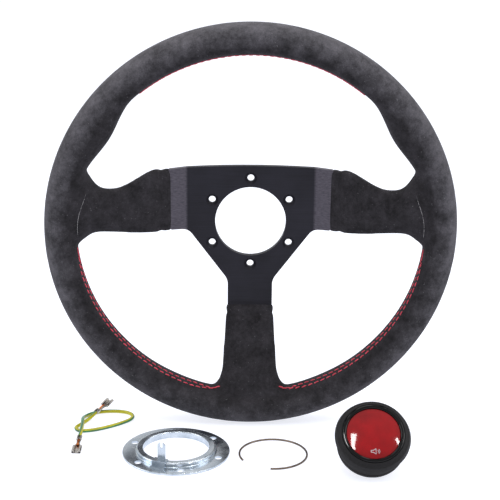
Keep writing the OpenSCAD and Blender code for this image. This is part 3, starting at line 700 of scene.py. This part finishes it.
def lowerTable():
    half = plateSet["lowerHalf"] + 1.1
    table = []
    for u, wide, back, front in ((68.5, half, 1.7, 1.5), (71, half + 0.1, 1.7, 1.9), (76, half + 0.4, 2.2, 2.6),
                                 (84, half + 0.9, 2.6, 3.0), (92, half + 1.5, 3.0, 3.4), (100, half + 2.1, 3.5, 4.0),
                                 (108, half + 2.7, 4.2, 4.8), (115, half + 3.3, 5.0, 5.6), (121, half + 4.2, 5.6, 6.4),
                                 (126, half + 6.0, 6.0, 7.0), (130, half + 9.0, 6.2, 7.4), (134, half + 13.0, 6.2, 7.4),
                                 (142, half + 15.0, 5.6, 6.4)):
        slope = armSlope(u, plateSet["lowerBend"])
        square = mix(6.0, 2.8, ease((u - 72) / 46))
        table.append((u, -wide, wide, slope - back, slope + plateSet["thick"] + front, square))
    return table


def makeCover():
    rim = makeRimForm()
    right = ringBar("sleeveRight", sleeveRings(sideTable(), lambda u, v, z: wheelPoint(u, v, z)))
    left = ringBar("sleeveLeft", sleeveRings(sideTable(), lambda u, v, z: wheelPoint(-u, v, z)))
    lower = ringBar("sleeveLower", sleeveRings(lowerTable(), lambda u, v, z: wheelPoint(v, -u, z)))
    cover = joinPieces("suedeCover", [rim, right, left, lower])
    inEdit(cover)
    bpy.ops.mesh.normals_make_consistent(inside=False)
    bpy.ops.object.mode_set(mode="OBJECT")
    addModifier(cover, "REMESH", mode="VOXEL", voxel_size=sleeveSet["voxel"] * mm)
    addModifier(cover, "SMOOTH", factor=0.5, iterations=7)
    return cover


suedeCover = makeCover()
print("cover form", len(suedeCover.data.vertices))


# the stretched skin settles over its foam: a short cloth run with a little pressure, its travel capped
clothSet = {"pressure": 3.0, "frames": 12, "cap": 0.9}


def settleSkin(piece):
    scene = bpy.context.scene
    before = [v.co.copy() for v in piece.data.vertices]
    pick(piece)
    cloth = piece.modifiers.new("Skin", "CLOTH")
    cloth.settings.quality = 4
    cloth.settings.mass = 0.3
    cloth.settings.tension_stiffness = 15
    cloth.settings.compression_stiffness = 15
    cloth.settings.bending_stiffness = 2
    cloth.settings.use_pressure = True
    cloth.settings.uniform_pressure_force = clothSet["pressure"]
    cloth.settings.effector_weights.gravity = 0
    cloth.point_cache.frame_start = 1
    cloth.point_cache.frame_end = clothSet["frames"]
    for step in range(1, clothSet["frames"] + 1):
        scene.frame_set(step)
    bpy.ops.object.modifier_apply(modifier=cloth.name)
    scene.frame_set(1)
    worst = 0.0
    for vertex, old in zip(piece.data.vertices, before):
        move = vertex.co - old
        worst = max(worst, move.length)
        if move.length > clothSet["cap"] * mm:
            vertex.co = old + move.normalized() * clothSet["cap"] * mm
    print("skin settled, furthest move", round(worst / mm, 2), "mm")


settleSkin(suedeCover)
addModifier(suedeCover, "SUBSURF", levels=1, render_levels=1)
shadeSmooth(suedeCover, 80)
finishPiece(suedeCover, "wheel", suede,
            ("cover_upper", "cover_lower_left", "cover_lower_right", "thumb_rest_left", "thumb_rest_right",
             "sleeve_left", "sleeve_right", "sleeve_lower"))
print("cover ready", len(suedeCover.data.polygons))

# a cuff's edge is drawn in under each arm's padding: a shallow groove across the arm
cuffSet = {"side": 70.3, "lower": 75.5, "depth": 0.75, "half": 2.0}


def drawInCuffs(piece):
    outward = [vertex.normal.copy() for vertex in piece.data.vertices]
    for vertex, normal in zip(piece.data.vertices, outward):
        x, z = abs(vertex.co.x) / mm, vertex.co.z / mm
        if math.hypot(x, z) > 105:
            continue
        off = (x - cuffSet["side"]) if z > -30 else (-z - cuffSet["lower"])
        depth = cuffSet["depth"] * math.exp(-(off / cuffSet["half"]) ** 2)
        vertex.co -= normal * depth * mm


drawInCuffs(suedeCover)
skinTree = BVHTree.FromPolygons([v.co for v in suedeCover.data.vertices],
                                [tuple(p.vertices) for p in suedeCover.data.polygons])

# ---- stitching: one stitch is modelled, each place gets its own copy laid on the suede ----
stitchSet = {"long": 4.4, "thread": 0.95, "pitch": 5.2, "rise": 0.15, "slant": 7, "rows": (5, 29),
             "spans": {"stitching_upper": (52, 128), "stitching_lower_left": (187, 259),
                       "stitching_lower_right": (281, 353)}}


def makeStitch():
    rings = []
    for k in range(7):
        t = k / 6 * 2 - 1
        r = stitchSet["thread"] / 2 * math.sqrt(max(0.06, 1 - abs(t) ** 5))
        sag = -0.55 * stitchSet["thread"] * abs(t) ** 4
        far = t * stitchSet["long"] / 2
        rings.append([Vector((far * mm, r * math.cos(w) * mm, (r * math.sin(w) + sag) * mm))
                      for w in (math.tau * j / 8 for j in range(8))])
    stitch = ringBar("stitch", rings)
    shadeSmooth(stitch, 60)
    layer = stitch.data.uv_layers[0] if stitch.data.uv_layers else stitch.data.uv_layers.new(name="lay")
    for loop in stitch.data.loops:
        spot = stitch.data.vertices[loop.vertex_index].co
        layer.data[loop.index].uv = (spot.x / mm / 4, math.atan2(spot.z, spot.y) / math.tau)
    return stitch


def onCover(angle, around):
    # the spot on the skin at an angle round the wheel and round the grip, with its outward direction
    a, w = math.radians(angle), math.radians(around)
    core = wheelPoint(rimSet["middle"] * math.cos(a), rimSet["middle"] * math.sin(a), rimSet["dish"])
    away = wheelPoint(-math.cos(w) * math.cos(a), -math.cos(w) * math.sin(a), math.sin(w)).normalized()
    spot, normal, _, _ = skinTree.ray_cast(core + away * 0.04, -away)
    return spot, normal


def sewRow(stitch, span, around):
    copies = []
    low, high = span
    radius = rimSet["inner"] + 1.5
    step = math.degrees(stitchSet["pitch"] / radius)
    count = int((high - low) / step)
    for k in range(count + 1):
        angle = mix(low, high, (k + 0.5 * (around > 15)) / (count + 0.5))
        close = ease(min(angle - low, high - angle) / 9)              # the rows run together at a sleeve
        spot, out = onCover(angle, mix(stitchSet["rows"][0] + 9, around, close))
        ahead = wheelPoint(-math.sin(math.radians(angle)), math.cos(math.radians(angle)), 0).normalized()
        ahead = (ahead - out * ahead.dot(out)).normalized()
        turn = Matrix.Rotation(math.radians(stitchSet["slant"] * (1 if around > 15 else -1)
                                            + random.uniform(-2.5, 2.5)), 3, out)
        ahead = turn @ ahead
        side = out.cross(ahead)
        copy = stitch.copy()
        copy.data = stitch.data.copy()
        bpy.context.collection.objects.link(copy)
        frameOf = Matrix((ahead, side, out)).transposed().to_4x4()
        frameOf.translation = spot + out * stitchSet["rise"] * mm
        copy.data.transform(frameOf)
        copies.append(copy)
    return copies


stitch = makeStitch()
for node, span in stitchSet["spans"].items():
    sewn = []
    for around in stitchSet["rows"]:
        sewn += sewRow(stitch, span, around)
    sewn = joinPieces("redStitches" + node.split("stitching")[1].title().replace("_", ""), sewn)
    finishPiece(sewn, "wheel", redThread, (node,))
bpy.data.objects.remove(stitch)


# a thin bar of six sides laid on the skin from the driver's side
def layLine(name, spots, width):
    laid = []
    for x, y in spots:
        spot, normal, _, _ = skinTree.ray_cast(wheelPoint(x, y, 90), Vector((0, 1, 0)))
        laid.append((spot, normal))
    rings = []
    for k, (spot, normal) in enumerate(laid):
        ahead = (laid[min(k + 1, len(laid) - 1)][0] - laid[max(k - 1, 0)][0]).normalized()
        side = ahead.cross(normal).normalized()
        t = math.sin(math.pi * (k + 0.35) / (len(laid) - 0.3))
        w = width * (0.35 + 0.65 * t) * random.uniform(0.75, 1.15) / 2
        rings.append([spot + (side * math.cos(a) * w + normal * math.sin(a) * w * 0.5) * mm
                      for a in (math.tau * j / 6 for j in range(6))])
    bar = ringBar(name, rings)
    shadeSmooth(bar, 60)
    return bar


# the sleeve's cut edge shows as a pale hairline where it laps the rim
seamSet = {"radius": 133.2, "from": -2, "to": 13, "lift": 3.6, "width": 0.55}
for name, sign in (("sleeveSeamLeft", -1), ("sleeveSeamRight", 1)):
    spots = []
    for k in range(25):
        angle = math.radians(mix(seamSet["from"], seamSet["to"], k / 24))
        r = seamSet["radius"] - seamSet["lift"] * ease(k / 24) ** 2
        spots.append((sign * r * math.cos(angle), r * math.sin(angle)))
    finishPiece(layLine(name, spots, seamSet["width"]), "wheel", cutEdge)
print("stitching and seams ready")

# ---- horn button: lathe-turned forms with their edges eased, laid on the button's own axis ----
buttonMount = mounts["button_body"]
buttonSet = {"bodyR": 25, "grooveAt": 4, "grooveWide": 1.9, "grooveDeep": 0.8, "bodyLong": 15, "flangeR": 28.5,
             "front": 22, "bore": 23.2, "baseR": 22.05, "capR": 22.9, "badgeR": 19.8, "badgeEdge": 1,
             "badgeCrown": 1.7,
             "mountAt": 10.45, "lean": 48}


def seatButton(piece):
    lean = math.radians(90 - buttonSet["lean"])
    axis = Vector((0, -math.sin(lean), math.cos(lean)))
    back = Vector(buttonMount["pos_m"]) - axis * buttonSet["mountAt"] * mm
    piece.data.transform(Matrix.Translation(back) @ Matrix.Rotation(lean, 4, "X"))
    piece.data.update()


def roundCorner(a, corner, b, radius, steps=6):
    # the points of an arc that eases the corner between two straight runs of an outline
    a, corner, b = (Vector(p) for p in (a, corner, b))
    u, w = (a - corner).normalized(), (b - corner).normalized()
    half = u.angle(w) / 2
    reach = radius / math.tan(half)
    middle = corner + (u + w).normalized() * radius / math.sin(half)
    first, last = corner + u * reach - middle, corner + w * reach - middle
    return [tuple(middle + first.slerp(last, k / steps)) for k in range(steps + 1)]


def easedOutline(corners):
    # corners are (radius, height, easing); a closed outline
    outline = []
    for k, (x, z, easing) in enumerate(corners):
        before, after = corners[k - 1], corners[(k + 1) % len(corners)]
        outline += (roundCorner(before[:2], (x, z), after[:2], easing) if easing else [(x, z)])
    return outline + outline[:1]


def makeHousing():
    b = buttonSet
    piece = spinOutline("buttonHousing", easedOutline([
        (b["baseR"], 0, 0), (b["bodyR"], 0, 0.5), (b["bodyR"], b["grooveAt"], 0.15),
        (b["bodyR"] - b["grooveDeep"], b["grooveAt"], 0),
        (b["bodyR"] - b["grooveDeep"], b["grooveAt"] + b["grooveWide"], 0),
        (b["bodyR"], b["grooveAt"] + b["grooveWide"], 0.15), (b["bodyR"], b["bodyLong"], 0.4),
        (b["flangeR"], b["bodyLong"], 1.4), (b["flangeR"], b["front"], 2.6), (b["bore"], b["front"], 0.5),
        (b["bore"], 4, 0), (b["bore"] - 3.5, 4, 0), (b["bore"] - 3.5, 2.5, 0), (b["baseR"], 2.5, 0)]), 128)
    shadeSmooth(piece, 40)
    seatButton(piece)
    finishPiece(piece, "horn_button", mattRubber, ("button_housing",))


def makeCapRing():
    # the gloss ring of the cap stands proud and rolls over to the badge
    b = buttonSet
    top = b["front"] + 1.5
    piece = spinOutline("capGlossRing", easedOutline([
        (b["capR"] + 0.02, b["front"] - 2, 0), (b["capR"] + 0.02, top + 0.02, 1.35),
        (b["badgeR"] + 0.08, top + 0.02, 1.3),
        (b["badgeR"] + 0.08, b["front"] - 0.75, 0), (b["badgeR"] + 0.6, b["front"] - 2, 0)]), 128)
    shadeSmooth(piece, 45)
    seatButton(piece)
    finishPiece(piece, "horn_cap", glossBlack)


def domeHeight(r):
    # height of the badge's dome above the body's back at a radius
    b = buttonSet
    ball = (b["badgeR"] ** 2 + b["badgeCrown"] ** 2) / (2 * b["badgeCrown"])
    seat = b["front"] - 0.8 + b["badgeEdge"]
    return seat + b["badgeCrown"] - ball + math.sqrt(ball * ball - r * r)


def makeBadge():
    b = buttonSet
    rows = [(b["badgeR"] * k / 14, domeHeight(b["badgeR"] * k / 14)) for k in range(14)]
    edge = [(b["badgeR"] - 0.25, domeHeight(b["badgeR"] - 0.25) - 0.03),
            (b["badgeR"], domeHeight(b["badgeR"]) - 0.3),
            (b["badgeR"], b["front"] - 0.8), (0, b["front"] - 0.8)]
    piece = spinOutline("badgeDome", rows + edge, 128)
    shadeSmooth(piece, 40)
    seatButton(piece)
    finishPiece(piece, "horn_cap", redResin, ("cap_badge",))


# a plain horn symbol, printed on the dome: a bell with its mouth, and two sound arcs
symbolSet = {"down": -14.2, "thick": 0.08, "line": 0.45}


def flatBar(points, width):
    # a flat strip of even width along points, as a grid of two rows
    rows = []
    for k, spot in enumerate(points):
        ahead = (points[min(k + 1, len(points) - 1)] - points[max(k - 1, 0)]).normalized()
        side = Vector((-ahead.y, ahead.x)) * width / 2
        rows.append([Vector((*(spot + side * t), 0)) for t in (-1, 1)])
    return gridSheet("symbolBar", rows)


def makeSymbol():
    s = symbolSet
    bars = []
    bell = [Vector(p) for p in ((-2.6, 0.7), (-1.0, 0.7), (1.0, 2.0), (1.0, -2.0), (-1.0, -0.7), (-2.6, -0.7),
                                (-2.6, 0.7))]
    for a, b in zip(bell, bell[1:]):
        bars.append(flatBar([a.lerp(b, k / 4) for k in range(5)], s["line"]))
    for r in (1.4, 2.4):
        bars.append(flatBar([Vector((1.3 + r * math.cos(a), r * math.sin(a)))
                             for a in (math.radians(x) for x in range(-42, 43, 12))], s["line"]))
    piece = joinPieces("hornSymbol", bars)
    for vertex in piece.data.vertices:
        x, y = vertex.co.x, vertex.co.y + s["down"]
        vertex.co = Vector((x, y, domeHeight(math.hypot(x, y)) + 0.02)) * mm
    inEdit(piece)
    bpy.ops.mesh.normals_make_consistent(inside=False)
    bpy.ops.object.mode_set(mode="OBJECT")
    if piece.data.polygons[0].normal.z < 0:
        inEdit(piece)
        bpy.ops.mesh.flip_normals()
        bpy.ops.object.mode_set(mode="OBJECT")
    addModifier(piece, "SOLIDIFY", thickness=s["thick"] * mm, offset=1)
    seatButton(piece)
    finishPiece(piece, "horn_cap", symbolInk)


makeHousing()
makeCapRing()
makeBadge()
makeSymbol()
print("horn button ready")

# ---- CAD nodes that keep their shape get their real finish ----
for name, material in (("spoke_plate", blackPlate), ("rim_hoop", rolledSteel), ("arm_rivets", plainAluminium),
                       ("grip_foam", foamBlack), ("button_base", boardBrown),
                       ("base_screws", blueZinc), ("fixed_contact", brass), ("live_spade", brass),
                       ("earth_spade", brass), ("return_spring", brightSteel), ("button_cap", glossBlack),
                       ("moving_contact", brass), ("stem_clip", brightSteel),
                       ("retaining_ring", blueZinc), ("ring_spade", blueZinc), ("snap_ring", brownWire)):
    slots = nodes[name].material_slots
    for slot in slots:
        slot.material = material

# ---- floor and lights ----


def makeFloor():
    material, tree, shader = startMaterial("whiteSweep")
    shader.inputs["Base Color"].default_value = srgb("#a6a8b0")
    shader.inputs["Roughness"].default_value = 0.7
    shader.inputs["Specular IOR Level"].default_value = 0.1
    shader.inputs["Emission Color"].default_value = srgb("#f6f8ff")
    shader.inputs["Emission Strength"].default_value = 0.8
    deselectAll()
    bpy.ops.mesh.primitive_plane_add(size=30, location=(0, 5, floorZ))
    floor = bpy.context.active_object
    floor.name = "floor"
    floor.data.materials.append(material)


# two thin strips overhead draw the narrow highlights on gloss and dome; wide boxes shape the suede
lightSet = {
    "left": {"place": (-1.5, -0.2, 0.7), "size": (0.9, 1.2), "power": 9},
    "right": {"place": (1.5, -0.2, 0.7), "size": (0.9, 1.2), "power": 8},
    "top": {"place": (0.0, 0.5, 1.6), "size": (1.6, 0.8), "power": 9},
    "stripLeft": {"place": (-0.12, -0.64, 0.92), "size": (0.08, 0.30), "power": 2.8},
    "stripRight": {"place": (0.64, -0.60, 0.80), "size": (0.06, 0.30), "power": 2.2},
    "stripBack": {"place": (0.12, 0.20, 1.10), "size": (0.55, 0.05), "power": 2.6}}


def makeLights():
    for name, s in lightSet.items():
        bpy.ops.object.light_add(type="AREA", location=s["place"])
        light = bpy.context.active_object
        light.name = name + "Softbox"
        light.data.shape = "RECTANGLE"
        light.data.size, light.data.size_y = s["size"]
        light.data.energy = s["power"]
        aim = Vector((0.03, -0.05, -0.05)) - Vector(s["place"])
        light.rotation_euler = aim.to_track_quat("-Z", "Y").to_euler()
    world = bpy.data.worlds.new("softRoom")
    bpy.context.scene.world = world
    world.use_nodes = True
    tree = world.node_tree
    # a pale room, dimmer in front, so gloss and plating have something dark to reflect
    around = addNode(tree, "ShaderNodeTexCoord").outputs["Generated"]
    toward = addNode(tree, "ShaderNodeSeparateXYZ", {"Vector": around})
    level = spread(tree, toward.outputs["Y"], -0.9, -0.1, 0.42, 0.86)
    tree.links.new(level, tree.nodes["Background"].inputs["Strength"])
    tree.nodes["Background"].inputs["Color"].default_value = (1, 1, 1, 1)
    bpy.context.scene.view_settings.view_transform = "Standard"


makeFloor()
makeLights()
